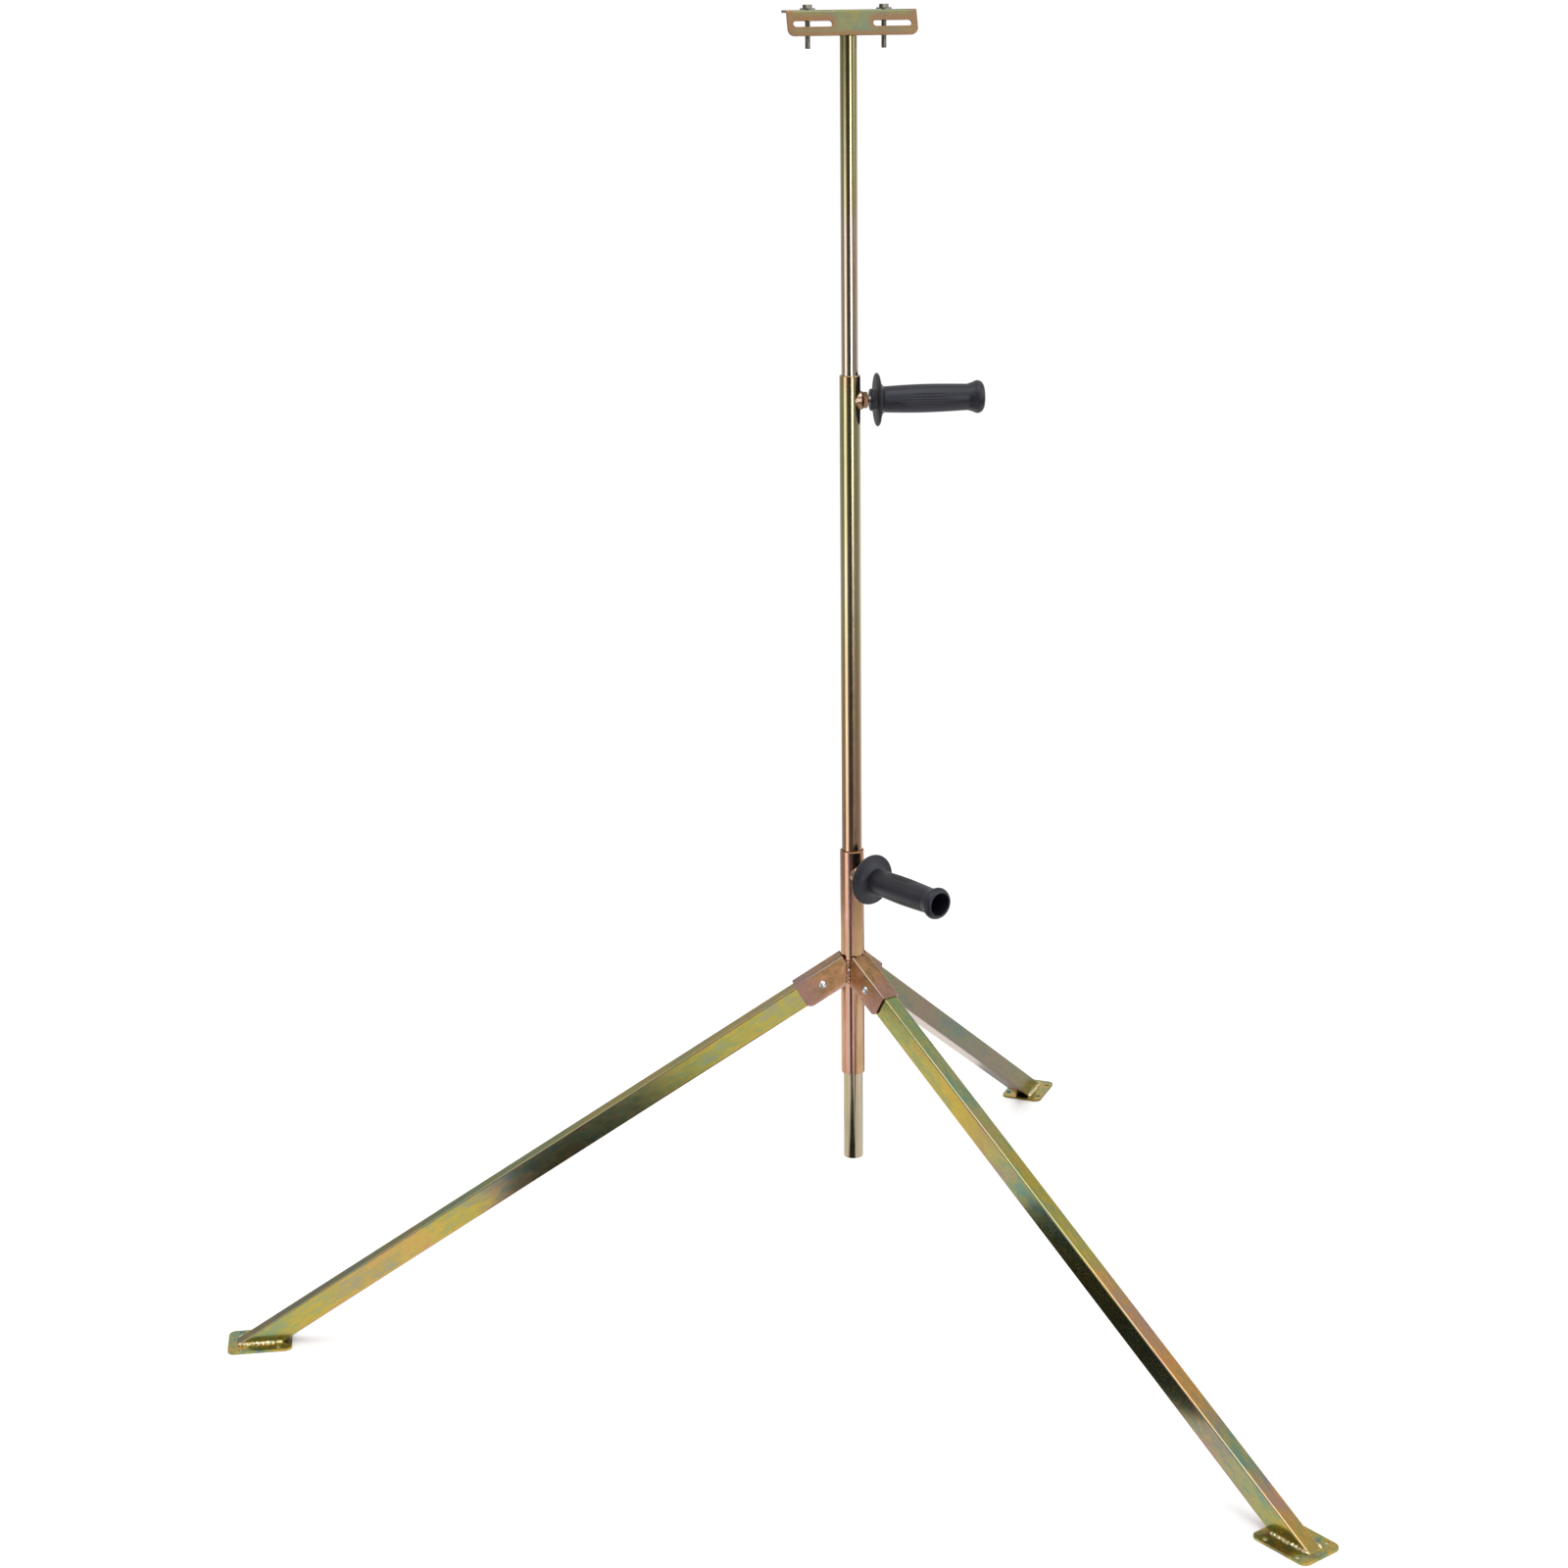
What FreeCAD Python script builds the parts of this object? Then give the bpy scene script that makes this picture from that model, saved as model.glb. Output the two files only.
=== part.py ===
import FreeCAD, Part
import math
import os

os.makedirs("parts", exist_ok=True)
V = FreeCAD.Vector

# A field tripod: three folding legs on a welded hub, two telescoping tubes clamped by
# hand-grip screws, and a slotted head bracket. Millimetres, +Z up.
# The origin is on the mast axis, at the level the foot plates stand on; the head
# bracket's slots run along X. The mast is round, so the hub may stand turned below it.

# Round tubes of the mast
upper_tube_od = 20.0
tube_wall = 1.5
tube_fit_gap = 1.0
middle_tube_od = upper_tube_od + 2 * (tube_fit_gap + tube_wall)
sleeve_od = middle_tube_od + 2 * (tube_fit_gap + tube_wall)
tube_edge_round = 0.6
upper_tube_length = 1000.0
middle_tube_length = 1000.0
sleeve_length = 295.0
middle_tube_bottom = 203.0
upper_tube_top = 1618.0
pivot_height = 442.0
sleeve_bottom = pivot_height - 123.0

# Legs, each a rectangular tube on its own pivot
hub_yaw = -7.5
leg_azimuths = {"left": 180.0 + hub_yaw, "right": -60.0 + hub_yaw, "back": 60.0 + hub_yaw}
leg_slope = 31.25
leg_height = 30.0
leg_width = 20.0
leg_wall = 1.5
leg_corner_round = 2.0
pivot_radius = sleeve_od / 2 + 25.0

# Hub brackets, folded channels open downwards
bracket_sheet = 2.5
bracket_side_gap = 0.3
bracket_reach = 31.0
bracket_skirt = 2.5
bracket_corner_round = 8.0
bracket_bend_round = 2.0
web_to_sleeve_gap = 0.6

# Pivot rivets, domed at both ends
rivet_d = 6.0
rivet_dome_d = 10.5
rivet_dome_height = 3.2
rivet_running_gap = 0.08

# Foot plates
plate_length = 80.0
plate_width = 60.0
plate_thickness = 3.0
plate_corner_round = 9.0
plate_hole_pitch = 47.0
plate_hole_d = 7.0

# Weld beads
weld_ripple_pitch = 5.0
hub_weld_d = 7.0
hub_weld_length = 32.0
foot_weld_d = 6.0
head_weld_d = 4.4

# Clamps: a hex nut welded on the tube, a stud, and a moulded hand grip
stud_d = 10.0
stud_pitch = 1.5
stud_thread_depth = 0.5
stud_running_gap = 0.08
stud_tip_gap = 0.3
nut_flats = 17.0
nut_height = 8.4
nut_weld_size = 3.0
nut_weld_lip = 0.4
wall_hole_d = 11.0
clamp_below_rim = 30.0
lower_clamp_height = sleeve_bottom + sleeve_length - clamp_below_rim
upper_clamp_height = middle_tube_bottom + middle_tube_length - clamp_below_rim
lower_clamp_azimuth = leg_azimuths["right"]
upper_clamp_azimuth = hub_yaw
lower_stud_shows = 7.1
upper_stud_shows = 3.1
lower_grip_start = sleeve_od / 2 + nut_height + lower_stud_shows
upper_grip_start = middle_tube_od / 2 + nut_height + upper_stud_shows

# Hand grip profile, measured from its boss face outwards
grip_length = 137.0
grip_boss_d = 26.6
grip_boss_length = 7.5
grip_flange_d = 63.6
grip_flange_thickness = 2.6
grip_cone_end = 16.5
grip_neck_d = 31.0
grip_belly_d = 34.0
grip_belly_at = 66.0
grip_waist_d = 31.4
grip_waist_at = 118.0
grip_flare_d = 39.4
grip_bore_d = 23.5
grip_floor = 14.0
flute_count = 10
flute_depth = 0.9
flute_cutter_r = 3.2
flute_half_length = 36.0
anchor_d = 18.0
anchor_length = 5.0

# Head bracket, a folded strip with two slots in each face
head_length = 155.0
head_sheet = 3.0
head_top_depth = upper_tube_od + 10.0
head_front_height = 27.0
head_front_tilt = 17.0
head_corner_round = 8.0
slot_length = 46.0
slot_width = 7.0
slot_spacing = 95.0
front_slot_drop = 13.4

# Bolts kept in the top slots
bolt_d = 5.9
bolt_length = 45.0
bolt_head_flats = 10.0
bolt_head_height = 4.0
washer_d = 18.0
washer_hole_d = 6.4
washer_thickness = 1.6
sliding_gap = 0.3
bolt_positions = {"left": -48.3, "right": 43.2}

# Sizes that follow from the ones above
slope = math.radians(leg_slope)
foot_radius = pivot_radius + (pivot_height - plate_thickness) / math.tan(slope)
leg_run = (pivot_height - plate_thickness) / math.sin(slope)
web_inside = leg_height / 2 + bracket_side_gap
web_outside = web_inside + bracket_sheet
bracket_inner_half = leg_width / 2 + bracket_side_gap
bracket_outer_half = bracket_inner_half + bracket_sheet
skirt_bottom = leg_height / 2 + bracket_skirt
head_top = upper_tube_top + head_sheet
head_inner_y = -head_top_depth / 2 + head_sheet
top_slot_y = (head_inner_y + head_top_depth / 2) / 2


def about_mast(shape, azimuth):
    """A copy turned about the mast axis."""
    turned = shape.copy()
    turned.rotate(V(0, 0, 0), V(0, 0, 1), azimuth)
    return turned


def onto_slope(shape):
    """Moves a shape drawn at the pivot, +X along the leg, down onto the leg's slope."""
    placed = shape.copy()
    placed.rotate(V(0, 0, 0), V(0, 1, 0), leg_slope)
    placed.translate(V(pivot_radius, 0, pivot_height))
    return placed


def block(x0, x1, y0, y1, z0, z1):
    return Part.makeBox(x1 - x0, y1 - y0, z1 - z0, V(x0, y0, z0))


def edges_along(shape, direction):
    """Straight edges that run along one axis."""
    found = []
    for edge in shape.Edges:
        if isinstance(edge.Curve, Part.Line):
            if abs(abs(edge.Curve.Direction.dot(direction)) - 1) < 1e-6:
                found.append(edge)
    return found


def rounded_block(x0, x1, y0, y1, z0, z1, direction, radius):
    shape = block(x0, x1, y0, y1, z0, z1)
    return shape.makeFillet(radius, edges_along(shape, direction))


def revolved(points, axis_point, axis):
    """Solid of revolution from a closed outline in the XZ plane."""
    outline = Part.makePolygon([V(*p) for p in points] + [V(*points[0])])
    return Part.Face(outline).revolve(axis_point, axis, 360)


def round_tube(outer_d, bottom, length):
    """Vertical tube with its outer end edges eased."""
    outer_r = outer_d / 2
    outer = Part.makeCylinder(outer_r, length, V(0, 0, bottom))
    rims = [e for e in outer.Edges if isinstance(e.Curve, Part.Circle)]
    outer = outer.makeFillet(tube_edge_round, rims)
    bore = Part.makeCylinder(outer_r - tube_wall, length + 2, V(0, 0, bottom - 1))
    return outer.cut(bore)


def clamp_hole(height, azimuth, depth):
    """Cutter for the hole a clamp stud passes through, in one side of a tube."""
    cutter = Part.makeCylinder(wall_hole_d / 2, depth, V(0, 0, height), V(1, 0, 0))
    return about_mast(cutter, azimuth)


def hex_prism(flats, height, base, direction):
    """Hexagonal prism with a corner towards +Z before it is turned."""
    corner = flats / math.sqrt(3)
    points = []
    for i in range(6):
        angle = math.radians(60 * i)
        points.append(V(corner * math.cos(angle), corner * math.sin(angle), 0))
    face = Part.Face(Part.makePolygon(points + [points[0]]))
    prism = face.extrude(V(0, 0, height))
    prism.Placement = FreeCAD.Placement(base, FreeCAD.Rotation(V(0, 0, 1), direction))
    return prism


def chamfer_cone(flats, height, base, direction):
    """Cone-topped cylinder that eases the corners of a hex at its far end."""
    corner = flats / math.sqrt(3)
    drop = (corner - flats / 2) * math.tan(math.radians(30))
    lower = Part.makeCylinder(corner + 0.1, height - drop, base, direction)
    tip = base + direction * (height - drop)
    upper = Part.makeCone(corner + 0.1, flats / 2 - 0.3, drop, tip, direction)
    return lower.fuse(upper)


def rippled_bar(length, diameter):
    """Weld bead along +X from the origin, its radius rising and falling with each ripple."""
    ripples = max(2, round(length / weld_ripple_pitch))
    step = length / ripples
    crest = diameter / 2
    valley = crest * 0.78
    points = [(0, 0, 0), (0, 0, valley * 0.6)]
    for i in range(ripples):
        points.append((step * (i + 0.3), 0, crest))
        points.append((step * (i + 0.7), 0, crest * 0.97))
        if i < ripples - 1:
            points.append((step * (i + 1), 0, valley))
    points += [(length, 0, valley * 0.6), (length, 0, 0)]
    return revolved(points, V(0, 0, 0), V(1, 0, 0))


# Mast

def build_sleeve():
    sleeve = round_tube(sleeve_od, sleeve_bottom, sleeve_length)
    return sleeve.cut(clamp_hole(lower_clamp_height, lower_clamp_azimuth, sleeve_od))


def build_middle_tube():
    tube = round_tube(middle_tube_od, middle_tube_bottom, middle_tube_length)
    return tube.cut(clamp_hole(upper_clamp_height, upper_clamp_azimuth, middle_tube_od))


def build_upper_tube():
    return round_tube(upper_tube_od, upper_tube_top - upper_tube_length, upper_tube_length)


# Hub

def build_bracket():
    """Channel with its web uppermost, walls cut round the sleeve, at azimuth 0."""
    inner = -pivot_radius
    channel = block(inner, bracket_reach, -bracket_outer_half, bracket_outer_half,
                    -skirt_bottom, web_outside)
    top_edges = [e for e in edges_along(channel, V(1, 0, 0)) if e.CenterOfMass.z > 0]
    channel = channel.makeFillet(bracket_bend_round, top_edges)
    low_corners = [e for e in edges_along(channel, V(0, 1, 0))
                   if e.CenterOfMass.z < 0 and e.CenterOfMass.x > 0]
    channel = channel.makeFillet(bracket_corner_round, low_corners)
    hollow = block(inner - 1, bracket_reach + 1, -bracket_inner_half, bracket_inner_half,
                   -skirt_bottom - 1, web_inside)
    channel = channel.cut(hollow)
    hole = Part.makeCylinder(rivet_d / 2, 4 * leg_width, V(0, -2 * leg_width, 0), V(0, 1, 0))
    channel = onto_slope(channel.cut(hole))
    # the sleeve, and a straight notch that keeps the web just off it
    tall = 4 * leg_height
    base = V(0, 0, pivot_height - tall)
    channel = channel.cut(Part.makeCylinder(sleeve_od / 2, 2 * tall, base))
    notch = block(-sleeve_od, sleeve_od / 2 + web_to_sleeve_gap,
                  -bracket_inner_half, bracket_inner_half,
                  pivot_height - tall, pivot_height + tall)
    channel = channel.cut(notch)
    # each bracket keeps to its own third of the circle
    reach = 2 * bracket_reach + pivot_radius
    third = [V(0, 0, 0), V(reach, -reach * math.tan(math.radians(60)), 0),
             V(reach, reach * math.tan(math.radians(60)), 0), V(0, 0, 0)]
    wedge = Part.Face(Part.makePolygon(third)).extrude(V(0, 0, 2 * tall))
    wedge.translate(base)
    return channel.common(wedge)


def build_hub_welds(brackets):
    """One upright bead in each corner between neighbouring brackets."""
    middle = pivot_height + (pivot_radius - sleeve_od / 2) * math.tan(slope)
    azimuths = sorted(a % 360 for a in leg_azimuths.values())
    beads = []
    for i, azimuth in enumerate(azimuths):
        following = azimuths[(i + 1) % 3] + (360 if i == 2 else 0)
        bead = rippled_bar(hub_weld_length, hub_weld_d)
        bead.rotate(V(0, 0, 0), V(0, 1, 0), -90)
        bead.translate(V(sleeve_od / 2 + 0.2, 0, middle - hub_weld_length / 2))
        bead = about_mast(bead, (azimuth + following) / 2)
        core = Part.makeCylinder(sleeve_od / 2, sleeve_length, V(0, 0, sleeve_bottom))
        bead = bead.cut(core).cut(Part.makeCompound(brackets))
        beads.append(largest_solid(bead))
    return Part.makeCompound(beads)


def largest_solid(shape):
    return max(shape.Solids, key=lambda s: s.Volume)


def build_rivet():
    """Pivot rivet across the bracket at azimuth 0, a dome outside each wall."""
    half = bracket_outer_half
    shank = Part.makeCylinder(rivet_d / 2, 2 * half, V(0, -half, 0), V(0, 1, 0))
    dome_r = rivet_dome_d / 2
    ball_r = (dome_r ** 2 + rivet_dome_height ** 2) / (2 * rivet_dome_height)
    rivet = shank
    for side in (-1, 1):
        ball = Part.makeSphere(ball_r, V(0, side * (half + rivet_dome_height - ball_r), 0))
        near, far = sorted((side * half, side * (half + rivet_dome_height)))
        slab = block(-dome_r, dome_r, near, far, -dome_r, dome_r)
        rivet = rivet.fuse(ball.common(slab))
    return onto_slope(rivet.removeSplitter())


# Legs

def leg_outline(inset, start, end):
    """Rounded bar of the leg's section, smaller all round by the inset."""
    half_w = leg_width / 2 - inset
    half_h = leg_height / 2 - inset
    radius = max(leg_corner_round - inset, 0.4)
    return rounded_block(start, end, -half_w, half_w, -half_h, half_h, V(1, 0, 0), radius)


def build_leg():
    """Rectangular tube with a round inner end, cut level where it meets the foot plate."""
    end = leg_run + 2 * leg_height / math.tan(slope)
    outer = leg_outline(0, -leg_height / 2, end)
    bore = leg_outline(leg_wall, -leg_height, end + 1)
    tongue = Part.makeCylinder(leg_height / 2, leg_width, V(0, -leg_width / 2, 0), V(0, 1, 0))
    beyond = block(0, end, -leg_width / 2, leg_width / 2, -leg_height / 2, leg_height / 2)
    tube = outer.common(tongue.fuse(beyond)).cut(bore)
    hole_r = rivet_d / 2 + rivet_running_gap
    tube = tube.cut(Part.makeCylinder(hole_r, leg_width + 2, V(0, -leg_width / 2 - 1, 0), V(0, 1, 0)))
    tube = onto_slope(tube)
    far = foot_radius + 6 * leg_height
    below = block(0, far, -leg_width, leg_width, -6 * leg_height, plate_thickness)
    return tube.cut(below)


def build_foot_plate():
    half_l = plate_length / 2
    half_w = plate_width / 2
    plate = rounded_block(foot_radius - half_l, foot_radius + half_l, -half_w, half_w,
                          0, plate_thickness, V(0, 0, 1), plate_corner_round)
    for sx in (-1, 1):
        for sy in (-1, 1):
            centre = V(foot_radius + sx * plate_hole_pitch / 2, sy * plate_hole_pitch / 2, -1)
            plate = plate.cut(Part.makeCylinder(plate_hole_d / 2, plate_thickness + 2, centre))
    return plate


def build_foot_weld():
    """A bead along each side of the leg where it stands on the plate."""
    footprint = leg_height / math.sin(slope)
    leg_bar = onto_slope(block(0, leg_run + 4 * leg_height, -leg_width / 2, leg_width / 2,
                               -leg_height / 2, leg_height / 2))
    under = block(0, foot_radius + plate_length, -plate_width, plate_width,
                  -plate_width, plate_thickness)
    beads = []
    for side in (-1, 1):
        bead = rippled_bar(footprint, foot_weld_d)
        bead.translate(V(foot_radius - footprint / 2, side * leg_width / 2, plate_thickness))
        beads.append(largest_solid(bead.cut(leg_bar).cut(under)))
    return Part.makeCompound(beads)


# Clamps, drawn pointing along +X from the mast axis

def build_clamp_nut(tube_od):
    base = V(tube_od / 2, 0, 0)
    along = V(1, 0, 0)
    nut = hex_prism(nut_flats, nut_height, base, along)
    nut = nut.common(chamfer_cone(nut_flats, nut_height, base, along))
    bore = Part.makeCylinder(stud_d / 2 + stud_running_gap, nut_height + 2, V(tube_od / 2 - 1, 0, 0), along)
    return nut.cut(bore)


def build_clamp_weld(tube_od):
    """Ring of weld round the nut, down to the round tube it stands on."""
    along = V(1, 0, 0)
    tube_r = tube_od / 2
    tip_r = nut_flats / math.sqrt(3) + nut_weld_lip
    foot_r = tip_r + nut_weld_size * 0.5
    sink = tube_r - math.sqrt(tube_r ** 2 - foot_r ** 2)
    foot = Part.makeCylinder(foot_r, sink, V(tube_r - sink, 0, 0), along)
    slant = Part.makeCone(foot_r, tip_r, nut_weld_size, V(tube_r, 0, 0), along)
    ring = foot.fuse(slant)
    ring = ring.cut(hex_prism(nut_flats, tube_od, V(0, 0, 0), along))
    tube = Part.makeCylinder(tube_r, 4 * tube_r, V(0, 0, -2 * tube_r))
    return largest_solid(ring.cut(tube))


def build_stud(clamped_od, grip_start):
    """Threaded stud from just off the clamped tube to its anchor head inside the grip."""
    tip = clamped_od / 2 + stud_tip_gap
    seat = grip_start + grip_floor + sliding_gap
    crest = stud_d / 2
    root = crest - stud_thread_depth
    points = [(tip, 0, 0), (tip, 0, root - 0.6), (tip + 1.2, 0, root)]
    turns = int((grip_start - tip - 2) / stud_pitch)
    for i in range(turns):
        start = tip + 1.2 + i * stud_pitch
        points.append((start + stud_pitch / 2, 0, crest))
        points.append((start + stud_pitch, 0, root))
    thread_end = tip + 1.2 + turns * stud_pitch
    points.append((thread_end + stud_pitch / 2, 0, crest))
    points += [(seat, 0, crest), (seat, 0, anchor_d / 2), (seat + anchor_length * 0.7, 0, anchor_d / 2)]
    points += [(seat + anchor_length, 0, anchor_d / 2 - anchor_length * 0.3), (seat + anchor_length, 0, 0)]
    return revolved(points, V(0, 0, 0), V(1, 0, 0))


def grip_spline(stations, start):
    """Smooth curve through (distance, radius) stations of the grip's outside."""
    curve = Part.BSplineCurve()
    curve.interpolate([V(start + x, 0, r) for x, r in stations])
    return curve.toShape()


def build_grip(start):
    """Moulded hollow hand grip, its boss face at the given distance from the mast axis."""
    boss_r = grip_boss_d / 2
    flange_r = grip_flange_d / 2
    rim_back = grip_boss_length
    rim_front = rim_back + grip_flange_thickness
    bore_r = grip_bore_d / 2
    hole_r = stud_d / 2 + stud_running_gap
    end_r = bore_r + (grip_flare_d / 2 - bore_r) * 0.45

    def at(x, r):
        return V(start + x, 0, r)

    edges = []
    edges.append(Part.makeLine(at(0, hole_r), at(0, boss_r - 1)))
    edges.append(Part.makeLine(at(0, boss_r - 1), at(1, boss_r)))
    edges.append(Part.makeLine(at(1, boss_r), at(rim_back, boss_r)))
    edges.append(Part.makeLine(at(rim_back, boss_r), at(rim_back, flange_r - 1)))
    rim_tip = at((rim_back + rim_front) / 2, flange_r)
    edges.append(Part.Arc(at(rim_back, flange_r - 1), rim_tip, at(rim_front, flange_r - 1)).toShape())
    cone_mid = ((rim_front + grip_cone_end) / 2 - 0.6, (flange_r + grip_neck_d / 2) / 2 - 2.4)
    cone = [(rim_front, flange_r - 1), cone_mid, (grip_cone_end, grip_neck_d / 2)]
    edges.append(grip_spline(cone, start))
    barrel = [(grip_cone_end, grip_neck_d / 2), (grip_belly_at, grip_belly_d / 2),
              (grip_waist_at, grip_waist_d / 2)]
    edges.append(grip_spline(barrel, start))
    flare_r = grip_flare_d / 2
    flare_at = grip_length - 7
    flare = [(grip_waist_at, grip_waist_d / 2), ((grip_waist_at + flare_at) / 2, flare_r - 2.2),
             (flare_at, flare_r), (grip_length - 2.2, flare_r - 1.6), (grip_length, end_r)]
    edges.append(grip_spline(flare, start))
    edges.append(Part.makeLine(at(grip_length, end_r), at(grip_length - 1, bore_r)))
    edges.append(Part.makeLine(at(grip_length - 1, bore_r), at(grip_floor, bore_r)))
    edges.append(Part.makeLine(at(grip_floor, bore_r), at(grip_floor, hole_r)))
    edges.append(Part.makeLine(at(grip_floor, hole_r), at(0, hole_r)))
    outline = Part.Wire(edges)
    grip = Part.Face(outline).revolve(V(0, 0, 0), V(1, 0, 0), 360)
    return grip.cut(flute_cutters(start))


def flute_cutters(start):
    """Long shallow lens-shaped grooves round the belly of the grip."""
    sweep_r = flute_half_length ** 2 / (2 * flute_depth)
    centre = grip_belly_d / 2 - flute_depth + flute_cutter_r + sweep_r
    half_angle = math.degrees(2.4 * flute_half_length / sweep_r)
    cutters = []
    for i in range(flute_count):
        middle = V(start + grip_belly_at, 0, centre)
        circle = Part.makeCircle(flute_cutter_r, middle - V(0, 0, sweep_r), V(1, 0, 0))
        disc = Part.Face(Part.Wire(circle))
        disc.rotate(middle, V(0, 1, 0), -half_angle / 2)
        cutter = disc.revolve(middle, V(0, 1, 0), half_angle)
        cutter.rotate(V(0, 0, 0), V(1, 0, 0), 360.0 * i / flute_count)
        cutters.append(cutter)
    return Part.makeCompound(cutters)


def place_clamp(shape, height, azimuth):
    raised = shape.copy()
    raised.translate(V(0, 0, height))
    return about_mast(raised, azimuth)


# Head, its length along X

def slot_cutter(x, depth):
    """Rounded slot along X, cut along Z both ways from the origin."""
    half = (slot_length - slot_width) / 2
    cutter = block(x - half, x + half, -slot_width / 2, slot_width / 2, -depth, depth)
    for end in (-half, half):
        cutter = cutter.fuse(Part.makeCylinder(slot_width / 2, 2 * depth, V(x + end, 0, -depth)))
    return cutter.removeSplitter()


def build_head_bracket():
    half = head_length / 2
    top = block(-half, half, head_inner_y, head_top_depth / 2, upper_tube_top, head_top)
    rear = [e for e in edges_along(top, V(0, 0, 1)) if e.CenterOfMass.y > 0]
    top = top.makeFillet(head_corner_round, rear)
    front = block(-half, half, -head_sheet, 0, -head_front_height, 0)
    low = [e for e in edges_along(front, V(0, 1, 0)) if e.CenterOfMass.z < -head_front_height / 2]
    front = front.makeFillet(head_corner_round, low)
    bend_line = V(-half, head_inner_y, upper_tube_top)
    bend_start = Part.makePlane(head_sheet, head_length, bend_line, V(0, 1, 0), V(0, 0, 1))
    bend = bend_start.revolve(bend_line, V(1, 0, 0), 90 - head_front_tilt)
    for side in (-1, 1):
        x = side * slot_spacing / 2
        across = slot_cutter(x, 2 * head_sheet)
        level = across.copy()
        level.translate(V(0, top_slot_y, upper_tube_top))
        top = top.cut(level)
        across.rotate(V(0, 0, 0), V(1, 0, 0), 90)
        across.translate(V(0, 0, -front_slot_drop))
        front = front.cut(across)
    front.rotate(V(0, 0, 0), V(1, 0, 0), -head_front_tilt)
    front.translate(V(0, head_inner_y, upper_tube_top))
    return top.fuse([front, bend]).removeSplitter()


def build_head_weld(bracket):
    """Bead round the top of the upper tube, under the bracket."""
    ring = Part.makeTorus(upper_tube_od / 2 + 0.3, head_weld_d / 2, V(0, 0, upper_tube_top))
    tube = Part.makeCylinder(upper_tube_od / 2, 60, V(0, 0, upper_tube_top - 30))
    above = block(-30, 30, -30, 30, upper_tube_top, upper_tube_top + 30)
    return largest_solid(ring.cut(tube).cut(above).cut(bracket))


def build_slot_bolt(x):
    seat = head_top + sliding_gap + washer_thickness
    shank = Part.makeCylinder(bolt_d / 2, bolt_length, V(x, top_slot_y, seat - bolt_length))
    shank = shank.makeChamfer(0.6, [e for e in shank.Edges if e.BoundBox.ZMax < seat - bolt_length + 0.1])
    head = hex_prism(bolt_head_flats, bolt_head_height, V(x, top_slot_y, seat), V(0, 0, 1))
    head = head.common(chamfer_cone(bolt_head_flats, bolt_head_height, V(x, top_slot_y, seat), V(0, 0, 1)))
    return shank.fuse(head)


def build_slot_washer(x):
    low = V(x, top_slot_y, head_top + sliding_gap)
    disc = Part.makeCylinder(washer_d / 2, washer_thickness, low)
    return disc.cut(Part.makeCylinder(washer_hole_d / 2, washer_thickness + 2, low - V(0, 0, 1)))


def save(name, shape):
    shape.exportStep(f"parts/{name}.step")


def main():
    save("hub_sleeve", build_sleeve())
    save("middle_tube", build_middle_tube())
    save("upper_tube", build_upper_tube())

    bracket = build_bracket()
    rivet = build_rivet()
    leg = build_leg()
    plate = build_foot_plate()
    weld = build_foot_weld()
    brackets = []
    for side, azimuth in leg_azimuths.items():
        brackets.append(about_mast(bracket, azimuth))
        save(f"leg_bracket_{side}", brackets[-1])
        save(f"pivot_rivet_{side}", about_mast(rivet, azimuth))
        save(f"leg_tube_{side}", about_mast(leg, azimuth))
        save(f"foot_plate_{side}", about_mast(plate, azimuth))
        save(f"foot_weld_{side}", about_mast(weld, azimuth))
    save("hub_weld_beads", build_hub_welds(brackets))

    lower = (sleeve_od, middle_tube_od, lower_grip_start, lower_clamp_height, lower_clamp_azimuth)
    upper = (middle_tube_od, upper_tube_od, upper_grip_start, upper_clamp_height, upper_clamp_azimuth)
    for name, clamp in (("lower", lower), ("upper", upper)):
        tube_od, clamped_od, start, height, azimuth = clamp
        save(f"{name}_clamp_nut", place_clamp(build_clamp_nut(tube_od), height, azimuth))
        save(f"{name}_clamp_weld", place_clamp(build_clamp_weld(tube_od), height, azimuth))
        save(f"{name}_clamp_stud", place_clamp(build_stud(clamped_od, start), height, azimuth))
        save(f"{name}_grip", place_clamp(build_grip(start), height, azimuth))

    head = build_head_bracket()
    save("head_bracket", head)
    save("head_weld", build_head_weld(head))
    for side, x in bolt_positions.items():
        save(f"slot_bolt_{side}", build_slot_bolt(x))
        save(f"slot_washer_{side}", build_slot_washer(x))


main()
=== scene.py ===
import math

import bpy
from mathutils import Matrix, Vector, noise


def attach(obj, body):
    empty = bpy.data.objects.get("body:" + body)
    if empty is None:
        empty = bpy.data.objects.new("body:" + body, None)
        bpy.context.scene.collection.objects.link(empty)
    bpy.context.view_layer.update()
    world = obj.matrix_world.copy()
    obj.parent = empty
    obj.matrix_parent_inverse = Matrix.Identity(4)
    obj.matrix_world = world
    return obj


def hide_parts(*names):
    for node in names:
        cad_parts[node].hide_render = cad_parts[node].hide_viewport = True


MM = 0.001

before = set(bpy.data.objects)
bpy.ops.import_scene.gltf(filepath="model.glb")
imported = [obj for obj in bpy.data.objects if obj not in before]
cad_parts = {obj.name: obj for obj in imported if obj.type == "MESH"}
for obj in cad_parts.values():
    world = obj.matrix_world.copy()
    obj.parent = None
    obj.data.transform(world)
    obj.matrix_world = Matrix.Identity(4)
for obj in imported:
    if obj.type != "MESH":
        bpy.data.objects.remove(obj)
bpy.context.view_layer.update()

# Sizes shared with the solid model, in millimetres
HUB_YAW = -7.5
LEG_AZIMUTHS = {"left": 180.0 + HUB_YAW, "right": -60.0 + HUB_YAW, "back": 60.0 + HUB_YAW}
LEG_SLOPE = 31.25
LEG_HEIGHT, LEG_WIDTH = 30.0, 20.0
SLEEVE_R = 15.0
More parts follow.
